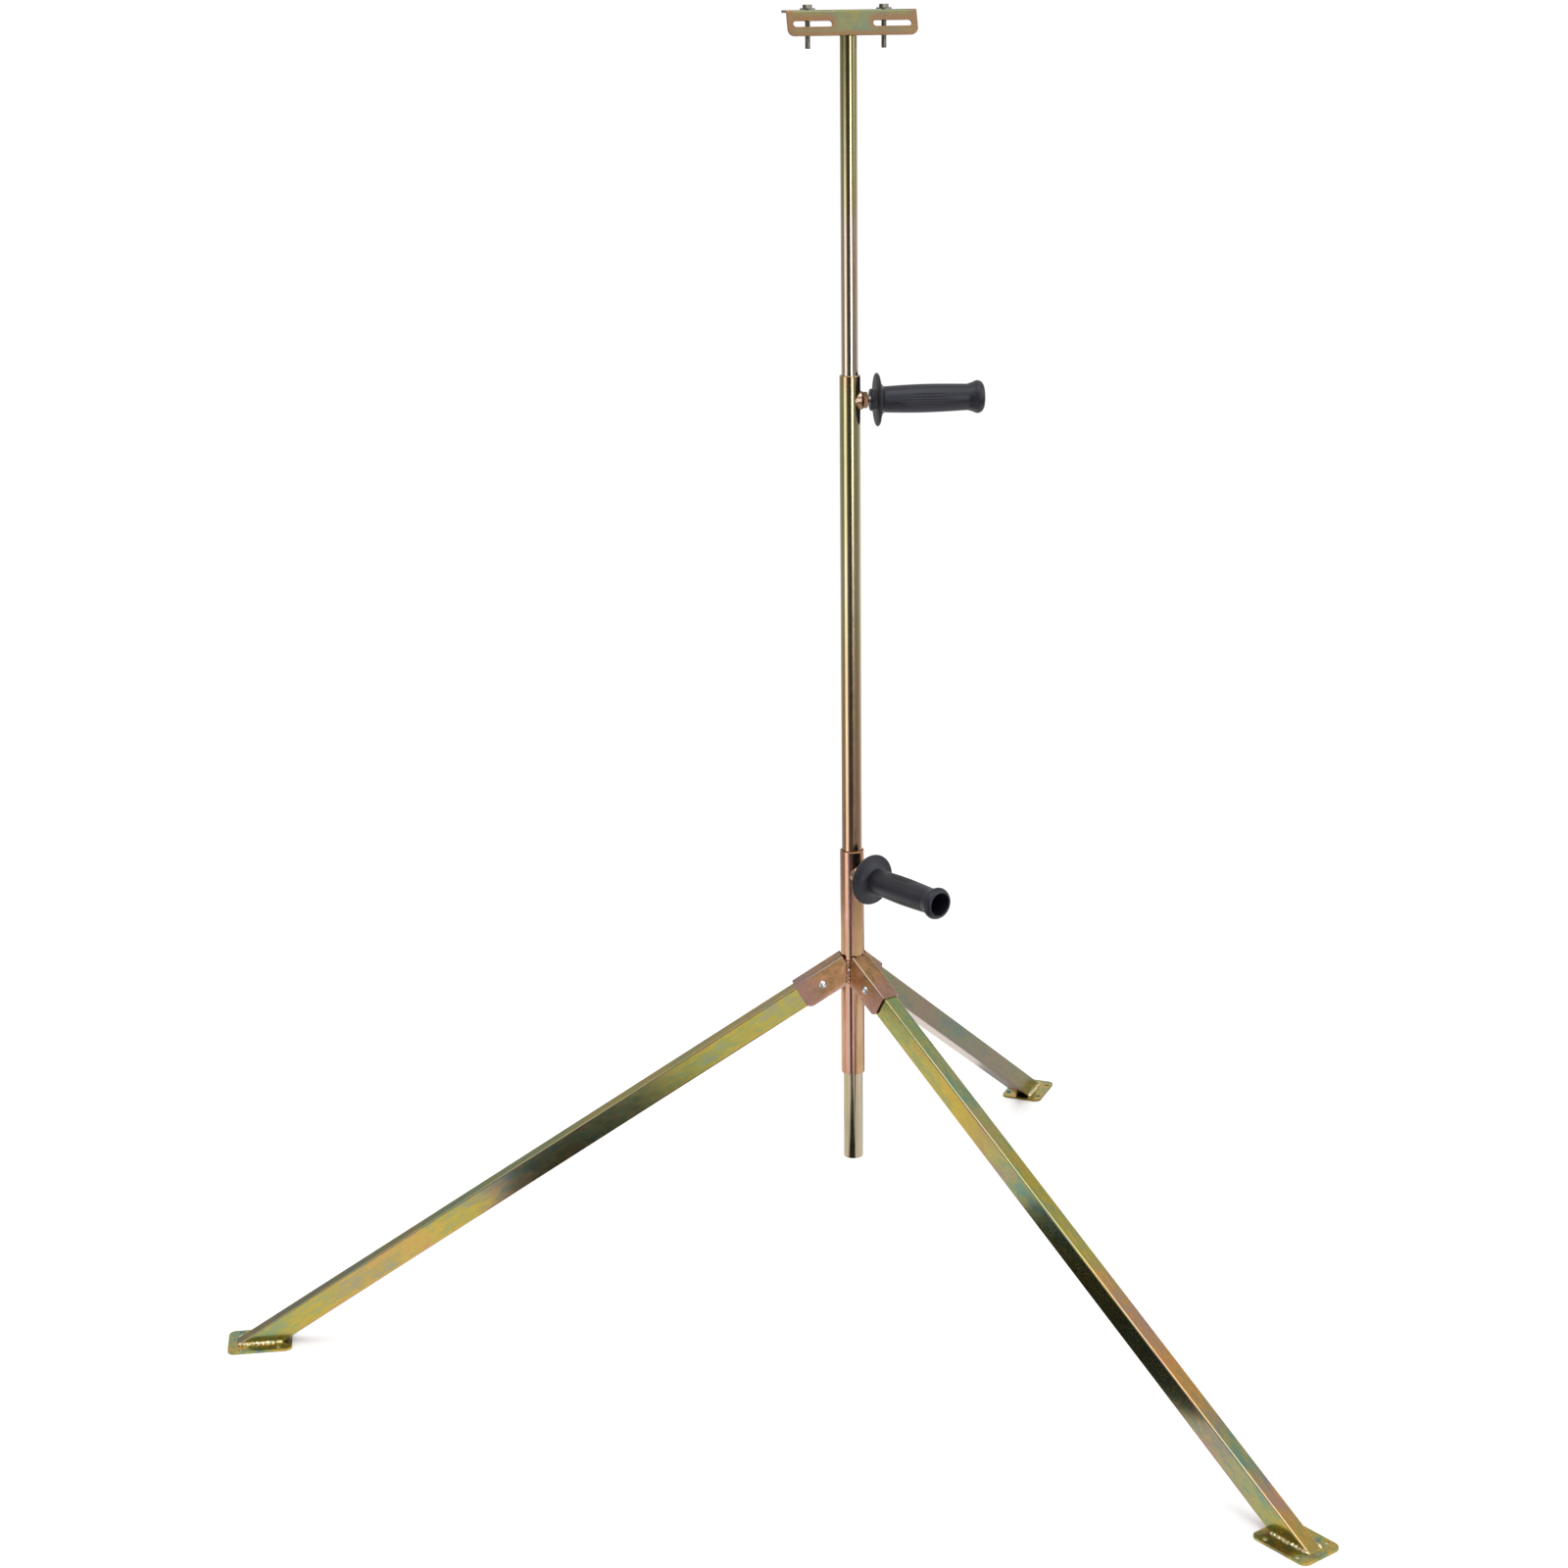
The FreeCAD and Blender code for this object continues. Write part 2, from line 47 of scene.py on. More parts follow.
PIVOT_RADIUS, PIVOT_HEIGHT = 40.0, 442.0
PLATE_THICKNESS = 3.0
BRACKET_HALF_WIDTH, BRACKET_OVER_LEG = 12.8, 2.8
CLAMPS = {
    "lower": {"azimuth": -60.0 + HUB_YAW, "height": 584.0, "start": 30.5, "roll": 90.0},
    "upper": {"azimuth": HUB_YAW, "height": 1173.0, "start": 24.0, "roll": 0.0},
}


# ---------------------------------------------------------------- mesh helpers

def make_object(name, verts, faces):
    """A smooth-shaded mesh object from points in millimetres."""
    mesh = bpy.data.meshes.new(name)
    mesh.from_pydata([Vector(v) * MM for v in verts], [], faces)
    mesh.update()
    mesh.polygons.foreach_set("use_smooth", [True] * len(mesh.polygons))
    obj = bpy.data.objects.new(name, mesh)
    bpy.context.scene.collection.objects.link(obj)
    return obj


def lathe(name, profile, segments, radius_at):
    """Turns a closed (distance, radius) outline about +X; radius_at gives each point's own radius."""
    verts, faces = [], []
    for x, r in profile:
        for i in range(segments):
            angle = 2 * math.pi * i / segments
            radius = radius_at(x, r, angle)
            verts.append((x, radius * math.cos(angle), radius * math.sin(angle)))
    rings = len(profile)
    for j in range(rings):
        k = (j + 1) % rings
        for i in range(segments):
            n = (i + 1) % segments
            faces.append((j * segments + i, k * segments + i, k * segments + n, j * segments + n))
    return make_object(name, verts, faces)


def spline(stations, per_span):
    """Catmull-Rom points through (distance, radius) stations."""
    out = []
    for i in range(len(stations) - 1):
        p0 = Vector(stations[max(i - 1, 0)])
        p1, p2 = Vector(stations[i]), Vector(stations[i + 1])
        p3 = Vector(stations[min(i + 2, len(stations) - 1)])
        for k in range(per_span):
            t = k / per_span
            point = 0.5 * (2 * p1 + (p2 - p0) * t + (2 * p0 - 5 * p1 + 4 * p2 - p3) * t * t
                           + (3 * p1 - p0 - 3 * p2 + p3) * t ** 3)
            out.append(tuple(point))
    out.append(tuple(stations[-1]))
    return out


def turned(azimuth):
    """A turn about the mast's axis, in degrees."""
    return Matrix.Rotation(math.radians(azimuth), 4, "Z")


def moved(x, y, z):
    """A move given in millimetres."""
    return Matrix.Translation(Vector((x, y, z)) * MM)


def finish_piece(obj, node, body, material):
    """Lets a piece drawn here stand in for a piece of the solid model."""
    obj.data.materials.clear()
    obj.data.materials.append(material)
    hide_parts(node)
    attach(obj, body)


# ---------------------------------------------------------------- materials

class Nodes:
    """Short-hand for building a tree of shader nodes."""

    def __init__(self, tree):
        self.tree = tree

    def add(self, kind, **settings):
        node = self.tree.nodes.new(kind)
        for key, value in settings.items():
            setattr(node, key, value)
        return node

    def join(self, source, target):
        self.tree.links.new(source, target)

    def ramp(self, source, stops, mode="LINEAR"):
        node = self.add("ShaderNodeValToRGB")
        node.color_ramp.interpolation = mode
        elements = node.color_ramp.elements
        while len(elements) < len(stops):
            elements.new(0.5)
        for element, (place, colour) in zip(elements, stops):
            element.position = place
            element.color = (*colour, 1.0)
        self.join(source, node.inputs["Fac"])
        return node.outputs["Color"]

    def math(self, operation, a, b=None):
        node = self.add("ShaderNodeMath", operation=operation)
        for socket, value in zip(node.inputs, (a, b)):
            if value is None:
                continue
            if isinstance(value, (int, float)):
                socket.default_value = value
            else:
                self.join(value, socket)
        return node.outputs[0]

    def mix(self, factor, a, b):
        """a where the factor is 0, b where it is 1; each is a number, a colour or a socket."""
        node = self.add("ShaderNodeMix", data_type="RGBA")
        for index, value in ((0, factor), (6, a), (7, b)):
            socket = node.inputs[index]
            if isinstance(value, (int, float)):
                socket.default_value = value
            elif isinstance(value, tuple):
                socket.default_value = (*value, 1.0)
            else:
                self.join(value, socket)
        return node.outputs[2]

    def step(self, source, start, end):
        """0 below start, 1 above end, eased between."""
        node = self.add("ShaderNodeMapRange", interpolation_type="SMOOTHSTEP")
        node.inputs["From Min"].default_value = start
        node.inputs["From Max"].default_value = end
        self.join(source, node.inputs["Value"])
        return node.outputs[0]

    def axes(self, source):
        split = self.add("ShaderNodeSeparateXYZ")
        self.join(source, split.inputs[0])
        return split.outputs

    def around(self, direction):
        """0..1 round the vertical axis, from where a direction points."""
        x, y, _ = self.axes(direction)
        return self.math("ADD", self.math("DIVIDE", self.math("ARCTAN2", y, x), 2 * math.pi), 0.5)


class Shader(Nodes):
    """Short-hand for building one surface material."""

    def __init__(self, name):
        self.material = bpy.data.materials.new(name)
        self.material.use_nodes = True
        super().__init__(self.material.node_tree)
        self.surface = self.tree.nodes["Principled BSDF"]
        coords = self.add("ShaderNodeTexCoord")
        self.position = coords.outputs["Object"]
        self.normal = coords.outputs["Normal"]

    def put(self, name, value):
        self.surface.inputs[name].default_value = value

    def noise(self, scale, detail=4.0, rough=0.5, distortion=0.0, stretch=(1, 1, 1), source=None):
        mapping = self.add("ShaderNodeMapping")
        mapping.inputs["Scale"].default_value = stretch
        self.join(source or self.position, mapping.inputs["Vector"])
        node = self.add("ShaderNodeTexNoise")
        node.inputs["Scale"].default_value = scale
        node.inputs["Detail"].default_value = detail
        node.inputs["Roughness"].default_value = rough
        node.inputs["Distortion"].default_value = distortion
        self.join(mapping.outputs[0], node.inputs["Vector"])
        return node.outputs["Fac"]

    def scaled(self, source, low, high):
        """Spreads 0..1 over low..high."""
        node = self.add("ShaderNodeMapRange")
        node.inputs["To Min"].default_value = low
        node.inputs["To Max"].default_value = high
        self.join(source, node.inputs["Value"])
        return node.outputs[0]

    def relief(self, height, distance, strength, edge=None):
        """Bump from a height, over softly rounded edges if an edge radius is given."""
        bump = self.add("ShaderNodeBump")
        bump.inputs["Strength"].default_value = strength
        bump.inputs["Distance"].default_value = distance
        self.join(height, bump.inputs["Height"])
        if edge:
            soft = self.add("ShaderNodeBevel", samples=4)
            soft.inputs["Radius"].default_value = edge
            self.join(soft.outputs[0], bump.inputs["Normal"])
        self.join(bump.outputs[0], self.surface.inputs["Normal"])

    def local(self, rotation, location):
        """Position measured in a frame of its own, such as a leg's."""
        node = self.add("ShaderNodeMapping", vector_type="TEXTURE")
        node.inputs["Rotation"].default_value = rotation
        node.inputs["Location"].default_value = location
        self.join(self.position, node.inputs["Vector"])
        return node.outputs[0]


BLACK, WHITE = (0.0, 0.0, 0.0), (1.0, 1.0, 1.0)
TEAL = (0.130, 0.245, 0.205)
GREEN = (0.200, 0.275, 0.125)
OLIVE = (0.295, 0.275, 0.060)
GOLD = (0.460, 0.340, 0.055)
AMBER = (0.430, 0.235, 0.060)
COPPER = (0.360, 0.175, 0.080)
PINK = (0.420, 0.195, 0.150)
ROSE = (0.560, 0.185, 0.160)
MAUVE = (0.210, 0.160, 0.215)
CHAMPAGNE = (0.480, 0.425, 0.310)
SILVER = (0.780, 0.790, 0.800)
# Painted highlight laid along the tubes' ridges
RIDGE_HIGHLIGHT_COLOUR = (0.430, 0.375, 0.300)
UNDERSIDE = (0.240, 0.150, 0.140)

# How the film's three sizes of noise add up, widest first, and how strongly they show
FILM_WEIGHTS = (0.22, 0.36, 0.42)
FILM_CONTRAST, FILM_MIDDLE = 3.5, 0.42
# How a tube's film shifts at its edges, on its top and bottom, at its lower edges and on its bottom
EDGE_SHIFT, FLAT_SHIFT, LOW_EDGE_SHIFT, BOTTOM_SHIFT = 0.10, -0.06, 0.26, 0.50
# Parts of the way from a tube's middle to its edge: where the film thickens, and the band on the ridges where
# a highlight is painted
THICKENED, RIDGE_HIGHLIGHT_BAND = (0.62, 0.97), (0.885, 0.935)
# How much of each colour is laid over the film's own
RUN_SHARE, UNDERSIDE_SHARE, RIDGE_HIGHLIGHT_SHARE = 0.50, 0.60, 0.75
TINT_SHARE, TIP_SHARE, HALO_SHARE = 0.66, 0.65, 0.72
BRUSHED, DULL, SMOKE = (0.80, 0.72, 0.55), (0.14, 0.11, 0.07), (0.11, 0.085, 0.075)
# About a leg's length from its pivot, in metres
LEG_RUN = 0.86
# Places on the head, in metres: a slot's middle from the mast, the half length of its straight part,
# the front slots' height, the halo's reach round a slot, and where the head's ends and lower edge begin
SLOT_MIDDLE, SLOT_STRAIGHT, SLOT_HEIGHT = 0.0475, 0.0195, 1.6076
SLOT_REACH, HEAD_ENDS, HEAD_LOW = (0.004, 0.013), (0.058, 0.077), (1.5945, 1.6010)


def section_film(s, place, section):
    """How the film changes over a tube's section.

    Returns the film's shift, 1 on the top and bottom faces, 1 on the bottom face, and 1 on the ridges, where
    a highlight is painted.
    """
    half_width, half_height = (v * MM for v in section)
    _, sideways, upward = s.axes(place)
    across = s.math("DIVIDE", s.math("ABSOLUTE", sideways), half_width)
    upright = s.math("DIVIDE", s.math("ABSOLUTE", upward), half_height)
    toward_edge = s.math("MINIMUM", across, upright)
    edges = s.step(toward_edge, *THICKENED)
    flats = s.math("GREATER_THAN", upright, across)
    low = s.math("LESS_THAN", upward, 0.0)
    bottom = s.math("MULTIPLY", flats, low)
    shift = s.math("ADD", s.math("MULTIPLY", edges, EDGE_SHIFT), s.math("MULTIPLY", flats, FLAT_SHIFT))
    shift = s.math("ADD", shift, s.math("MULTIPLY", s.math("MULTIPLY", edges, low), LOW_EDGE_SHIFT))
    shift = s.math("ADD", shift, s.math("MULTIPLY", bottom, BOTTOM_SHIFT))
    return shift, flats, bottom, s.step(toward_edge, *RIDGE_HIGHLIGHT_BAND)


def slot_halo(s):
    """1 close to the head's slots, ends and lower edge, 0 in the plain middle."""
    x, _, z = s.axes(s.position)
    beside = s.math("ABSOLUTE", s.math("SUBTRACT", s.math("ABSOLUTE", x), SLOT_MIDDLE))
    beyond = s.math("MAXIMUM", s.math("SUBTRACT", beside, SLOT_STRAIGHT), 0.0)
    drop = s.math("SUBTRACT", z, SLOT_HEIGHT)
    distance = s.math("SQRT", s.math("ADD", s.math("POWER", beyond, 2.0), s.math("POWER", drop, 2.0)))
    near_slot = s.math("SUBTRACT", 1.0, s.step(distance, *SLOT_REACH))
    ends = s.step(s.math("ABSOLUTE", x), *HEAD_ENDS)
    low = s.math("SUBTRACT", 1.0, s.step(z, *HEAD_LOW))
    return s.math("MAXIMUM", near_slot, s.math("MAXIMUM", ends, low))


def chromate(name, stops, rough, patch, streak=(1, 1, 1), place=None, section=None, tint=None, facing_reflection=None,
             facing_reflection_share=0.38, halo=None, dark=0.0, tip=None, run=None, edge=0.0008):
    """Yellow-chromate zinc: drifting interference colours, faint brushing and dull specks, with painted
    highlights and reflections where asked.

    stops: the film's colours from thin to thick; rough: the usual roughness; patch: fineness of the film's
    patches; streak: their stretch; place: rotation and location of the piece's own frame; section: half width
    and half height of a tube, whose edges carry a thicker film and a painted highlight on their ridges; tint:
    colours by height; facing_reflection: a painted reflection, colours by the way the surface faces;
    facing_reflection_share: how much of it; halo: colour near the head's slots; dark: share of dull mottling;
    tip: colour towards the far end of a bracket; run: colours down a leg, for its sides and for its top, with
    a painted dark reflection on the left leg's side; edge: radius of softened edges, in metres.
    """
    s = Shader(name)
    where = s.local(*place) if place else s.position
    broad = s.noise(patch * 0.4, 2.0, 0.5, 0.3, streak, where)
    patches = s.noise(patch, 4.0, 0.55, 0.6, streak, where)
    flecks = s.noise(patch * 4.5, 4.0, 0.65, 0.4, streak, where)
    broad_part, patch_part, fleck_part = (s.math("MULTIPLY", grain, weight)
                                          for grain, weight in zip((broad, patches, flecks), FILM_WEIGHTS))
    film = s.math("ADD", s.math("ADD", broad_part, patch_part), fleck_part)
    film = s.math("ADD", s.math("MULTIPLY", s.math("SUBTRACT", film, 0.5), FILM_CONTRAST), FILM_MIDDLE)
    if section:
        shift, flats, bottom, ridge_highlight = section_film(s, where, section)
        film = s.math("ADD", film, shift)
    film = s.math("MINIMUM", s.math("MAXIMUM", film, 0.0), 1.0)
    colour = s.ramp(film, stops, "EASE")
    if run:
        along = s.math("ADD", s.axes(where)[0], s.scaled(patches, -0.05, 0.05))
        reach = s.math("DIVIDE", along, LEG_RUN)
        # Colours down the leg; on the left leg's side they hold a painted dark reflection half way down
        sides, tops = (s.ramp(reach, shades, "EASE") for shades in run)
        colour = s.mix(RUN_SHARE, colour, s.mix(flats, sides, tops))
        colour = s.mix(s.math("MULTIPLY", bottom, UNDERSIDE_SHARE), colour, UNDERSIDE)
    if section:
        # A painted highlight along the tube's ridges
        colour = s.mix(s.math("MULTIPLY", ridge_highlight, RIDGE_HIGHLIGHT_SHARE), colour, RIDGE_HIGHLIGHT_COLOUR)
    if facing_reflection:
        # Painted reflection: colours by the way the surface faces, with bright and dark bands round the tube
        colour = s.mix(facing_reflection_share, colour, s.ramp(s.around(s.normal), facing_reflection, "EASE"))
    if tint:
        low, high = tint[0][0], tint[-1][0]
        height = s.math("ADD", s.axes(s.position)[2], s.scaled(patches, -0.04, 0.04))
        rise = s.math("DIVIDE", s.math("SUBTRACT", height, low), high - low)
        tinted = s.ramp(rise, [((level - low) / (high - low), shade) for level, shade in tint], "EASE")
        colour = s.mix(TINT_SHARE, colour, tinted)
    if tip:
        along = s.math("ADD", s.axes(where)[0], s.scaled(patches, -0.012, 0.012))
        outer = s.step(along, -0.008, 0.022)
        colour = s.mix(s.math("MULTIPLY", outer, TIP_SHARE), colour, tip)
    if halo:
        colour = s.mix(s.math("MULTIPLY", slot_halo(s), HALO_SHARE), colour, halo)
    brushing = s.noise(900.0, 2.0, 0.6, 0.0, (1.0, 1.0, 0.05))
    colour = s.mix(s.scaled(brushing, 0.0, 0.05), colour, BRUSHED)
    dull = s.ramp(s.noise(420.0, 3.0, 0.7), [(0.62, BLACK), (0.74, WHITE)])
    colour = s.mix(s.math("MULTIPLY", dull, 0.28), colour, DULL)
    if dark:
        smoke = s.step(s.noise(patch * 0.5, 3.0, 0.6, 0.8, streak, where), 0.50, 0.72)
        colour = s.mix(s.math("MULTIPLY", smoke, dark), colour, SMOKE)
    s.join(colour, s.surface.inputs["Base Color"])
    s.put("Metallic", 1.0)
    wear = s.noise(60.0, 4.0, 0.6, 0.3)
    s.join(s.scaled(wear, rough - 0.05, rough + 0.07), s.surface.inputs["Roughness"])
    grain = s.math("ADD", s.noise(1600.0, 2.0, 0.6), s.math("MULTIPLY", brushing, 0.6))
    s.relief(grain, 0.00003, 0.30, edge)
    return s.material


def weld_metal(name, tint):
    """Shiny, lumpy weld metal, from copper brown in the hollows to silver on the crests."""
    s = Shader(name)
    lumps = s.noise(260.0, 4.0, 0.6, 0.4)
    bright = tuple(0.35 + 0.65 * c for c in tint)
    colour = s.ramp(lumps, [(0.30, COPPER), (0.45, tint), (0.66, bright), (0.84, SILVER)], "EASE")
    s.join(colour, s.surface.inputs["Base Color"])
    s.put("Metallic", 1.0)
    s.join(s.scaled(s.noise(500.0, 3.0), 0.16, 0.40), s.surface.inputs["Roughness"])
    s.relief(s.noise(700.0, 4.0, 0.6), 0.0003, 0.5)
    return s.material


def plain_steel(name, light, dark, rough):
    """Bright zinc or dull bolt steel, with smudges and fine pitting."""
    s = Shader(name)
    smudge = s.noise(140.0, 5.0, 0.6, 0.5)
    s.join(s.ramp(smudge, [(0.35, dark), (0.65, light)], "EASE"), s.surface.inputs["Base Color"])
    s.put("Metallic", 1.0)
    s.join(s.scaled(s.noise(320.0, 4.0, 0.65), rough - 0.08, rough + 0.14), s.surface.inputs["Roughness"])
    s.relief(s.noise(1500.0, 3.0, 0.6), 0.00005, 0.4, 0.0003)
    return s.material


def grip_plastic(name):
    """Moulded charcoal plastic: fine texture, slightly shinier rubbed patches."""
    s = Shader(name)
    cloud = s.noise(45.0, 4.0, 0.55, 0.2)
    colour = s.ramp(cloud, [(0.30, (0.004, 0.004, 0.006)), (0.70, (0.009, 0.009, 0.013))])
    dust = s.ramp(s.noise(700.0, 2.0, 0.7), [(0.70, BLACK), (0.80, WHITE)])
    colour = s.mix(s.math("MULTIPLY", dust, 0.06), colour, (0.35, 0.35, 0.38))
    s.join(colour, s.surface.inputs["Base Color"])
    s.join(s.scaled(cloud, 0.36, 0.48), s.surface.inputs["Roughness"])
    s.put("Specular IOR Level", 0.44)
    s.put("Specular Tint", (0.86, 0.88, 1.0, 1.0))
    s.relief(s.noise(2600.0, 3.0, 0.6), 0.00006, 0.35, 0.0004)
    return s.material


# Colours down each leg, from 0 at its pivot to 1 at its foot; the dark stop half way down the left leg's side
# is a painted dark reflection
LEG_SIDES_AND_PAINTED_REFLECTION = {
    "left": [(0.05, GOLD), (0.22, OLIVE), (0.36, TEAL), (0.48, (0.13, 0.16, 0.17)), (0.56, MAUVE),
             (0.62, GOLD), (0.78, (0.45, 0.28, 0.12)), (0.90, GOLD), (0.98, GREEN)],
    "right": [(0.05, GREEN), (0.24, GOLD), (0.38, TEAL), (0.55, GREEN), (0.72, TEAL), (0.82, MAUVE),
              (0.91, TEAL), (0.99, GOLD)],
    "back": [(0.05, GREEN), (0.25, (0.28, 0.21, 0.20)), (0.50, TEAL), (0.70, (0.27, 0.20, 0.19)),
             (0.95, OLIVE)],
}
LEG_TOPS = {
    "left": [(0.05, AMBER), (0.30, OLIVE), (0.60, GREEN), (0.95, (0.20, 0.13, 0.07))],
    "right": [(0.05, GREEN), (0.24, TEAL), (0.38, OLIVE), (0.50, GOLD), (0.62, ROSE),
              (0.76, (0.50, 0.19, 0.08)), (0.86, TEAL), (0.93, ROSE), (1.00, AMBER)],
    "back": [(0.10, AMBER), (0.50, OLIVE), (0.90, GOLD)],
}
# Colours of the film, from thin to thick
LEG_STOPS = [(0.00, MAUVE), (0.14, TEAL), (0.27, GREEN), (0.40, OLIVE), (0.56, GOLD), (0.74, AMBER),
             (0.92, PINK)]
BRACKET_STOPS = [(0.05, (0.240, 0.140, 0.060)), (0.40, (0.390, 0.200, 0.090)), (0.70, (0.470, 0.245, 0.150)),
                 (0.95, (0.560, 0.350, 0.260))]
NUT_STOPS = [(0.15, (0.060, 0.035, 0.020)), (0.50, (0.200, 0.095, 0.045)), (0.90, (0.380, 0.210, 0.110))]
MAST_STOPS = [(0.10, (0.36, 0.37, 0.20)), (0.35, (0.56, 0.48, 0.26)), (0.62, (0.66, 0.58, 0.48)),
              (0.92, PINK)]
HUB_STOPS = [(0.08, (0.42, 0.30, 0.14)), (0.35, (0.46, 0.24, 0.17)), (0.62, (0.58, 0.33, 0.27)),
             (0.92, PINK)]
HEAD_STOPS = [(0.05, (0.17, 0.22, 0.15)), (0.40, (0.22, 0.235, 0.12)), (0.75, (0.27, 0.25, 0.09)),
              (0.98, (0.38, 0.23, 0.08))]
# Painted reflections: colours by the way a surface faces, once round from -X, their bright and dark bands
# fixed round the mast
MAST_FACING_REFLECTION = [(0.00, GOLD), (0.25, PINK), (0.45, CHAMPAGNE), (0.62, COPPER), (0.80, OLIVE), (1.00, GOLD)]
HUB_FACING_REFLECTION = [(0.00, AMBER), (0.08, COPPER), (0.17, (0.56, 0.33, 0.28)), (0.24, COPPER), (0.31, OLIVE),
            (0.38, PINK), (0.44, AMBER), (0.62, COPPER), (0.80, (0.50, 0.26, 0.20)), (1.00, AMBER)]
# Colours near the head's slots, and towards the far end of a bracket
HEAD_HALO, BRACKET_TIP = (0.31, 0.135, 0.065), (0.30, 0.17, 0.16)
# Colours by height, in metres
MAST_TINT = [(0.20, (0.31, 0.28, 0.21)), (0.38, (0.36, 0.32, 0.24)), (0.60, (0.46, 0.25, 0.18)),
             (0.80, (0.48, 0.32, 0.19)), (0.95, (0.48, 0.43, 0.25)), (1.17, (0.38, 0.38, 0.19)),
             (1.21, (0.42, 0.26, 0.14))]
UPPER_TINT = [(0.60, CHAMPAGNE), (1.20, (0.56, 0.45, 0.41)), (1.37, (0.50, 0.40, 0.34)),
              (1.43, (0.38, 0.35, 0.16)), (1.50, (0.28, 0.27, 0.11)), (1.62, (0.18, 0.17, 0.07))]

mast_zinc = chromate("mast_zinc", MAST_STOPS, 0.13, 12.0, (1, 1, 0.2), tint=MAST_TINT, facing_reflection=MAST_FACING_REFLECTION)
upper_zinc = chromate("upper_zinc", MAST_STOPS, 0.12, 12.0, (1, 1, 0.2), tint=UPPER_TINT, facing_reflection=MAST_FACING_REFLECTION)
hub_zinc = chromate("hub_zinc", HUB_STOPS, 0.16, 26.0, (1, 1, 0.22), facing_reflection=HUB_FACING_REFLECTION, facing_reflection_share=0.5)
head_zinc = chromate("head_zinc", HEAD_STOPS, 0.24, 22.0, halo=HEAD_HALO)
nut_zinc = chromate("nut_zinc", NUT_STOPS, 0.32, 90.0, dark=0.4)
weld_bead = weld_metal("weld_bead", (0.50, 0.44, 0.22))
hub_bead = weld_metal("hub_bead", (0.30, 0.16, 0.08))
bright_zinc = plain_steel("bright_zinc", (0.72, 0.73, 0.74), (0.42, 0.43, 0.44), 0.26)
bolt_steel = plain_steel("bolt_steel", (0.22, 0.21, 0.17), (0.11, 0.10, 0.08), 0.36)
charcoal = grip_plastic("charcoal")


def dress(node, material):
    """Gives a piece of the solid model its material."""
    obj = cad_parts[node]
    obj.data.materials.clear()
    obj.data.materials.append(material)


LEG_SECTION = (LEG_WIDTH / 2, LEG_HEIGHT / 2)
BRACKET_SECTION = (BRACKET_HALF_WIDTH, LEG_HEIGHT / 2 + BRACKET_OVER_LEG)

for side, azimuth in LEG_AZIMUTHS.items():
    turn = math.radians(azimuth)
    pivot = (PIVOT_RADIUS * MM * math.cos(turn), PIVOT_RADIUS * MM * math.sin(turn), PIVOT_HEIGHT * MM)
    down_leg = ((0.0, math.radians(LEG_SLOPE), turn), pivot)
    leg_zinc = chromate(f"leg_zinc_{side}", LEG_STOPS, 0.17, 46.0, (0.30, 1, 1), down_leg, LEG_SECTION,
                        run=(LEG_SIDES_AND_PAINTED_REFLECTION[side], LEG_TOPS[side]), edge=0.0006)
    bracket_zinc = chromate(f"bracket_zinc_{side}", BRACKET_STOPS, 0.24, 30.0, (0.6, 1, 1), down_leg,
                            BRACKET_SECTION, dark=0.22, tip=BRACKET_TIP)
    plate_zinc = chromate(f"plate_zinc_{side}", LEG_STOPS, 0.22, 50.0, dark=0.6)
    dress(f"leg_tube_{side}", leg_zinc)
    dress(f"leg_bracket_{side}", bracket_zinc)
    dress(f"foot_plate_{side}", plate_zinc)
    dress(f"pivot_rivet_{side}", bright_zinc)

dress("hub_sleeve", hub_zinc)
dress("middle_tube", mast_zinc)
dress("upper_tube", upper_zinc)
dress("head_bracket", head_zinc)
dress("head_weld", hub_bead)
for clamp_name in CLAMPS:
    dress(f"{clamp_name}_clamp_nut", nut_zinc)
    dress(f"{clamp_name}_clamp_weld", hub_bead)
    dress(f"{clamp_name}_clamp_stud", bright_zinc)
for side in ("left", "right"):
    dress(f"slot_bolt_{side}", bolt_steel)
    dress(f"slot_washer_{side}", bolt_steel)


# ---------------------------------------------------------------- hand grips

GRIP_LENGTH, GRIP_FLOOR, GRIP_SEGMENTS = 137.0, 14.0, 240
GRIP_MOUTH_R, GRIP_BORE_R, GRIP_HOLE_R = 14.0, 11.75, 5.08
GRIP_OUTSIDE = [(0.0, 12.3), (1.0, 13.3), (7.5, 13.3)]
GRIP_FLANGE = [(7.5, 30.8), (8.8, 31.8), (10.1, 30.8)]
GRIP_CONE = [(10.1, 30.8), (12.7, 21.25), (16.5, 15.5)]
GRIP_BARREL = [(16.5, 15.5), (40.0, 16.5), (66.0, 17.0), (92.0, 16.6), (118.0, 15.7)]
GRIP_FLARE = [(118.0, 15.7), (124.0, 17.5), (130.0, 19.7), (134.8, 18.1), (137.0, 15.3)]
FLUTES = [(side * 180 + 11.0 * k, 34.0 - 4.0 * abs(k)) for side in (0, 1) for k in (-2, -1, 0, 1, 2)]
FLUTE_DEPTH, FLUTE_CUTTER_R, FLUTE_MIDDLE = 1.0, 1.3, 66.0
FLUTED_FROM, FLUTED_TO, FLUTED_RADIUS = 20.0, 115.0, 14.5


def grip_radius(roll):
    """The radius of a grip at each point of its outline: the outline's own, less the flutes."""
    def radius(x, r, angle):
        if r < FLUTED_RADIUS or not FLUTED_FROM < x < FLUTED_TO:
            return r
        cut = 0.0
        for place, half_length in FLUTES:
            turn = (math.degrees(angle) - place - roll + 180) % 360 - 180
            across = math.radians(turn) * r
            deep = FLUTE_DEPTH * (1 - ((x - FLUTE_MIDDLE) / half_length) ** 2)
            cut = max(cut, deep - across ** 2 / (2 * FLUTE_CUTTER_R))
        return r - cut
    return radius


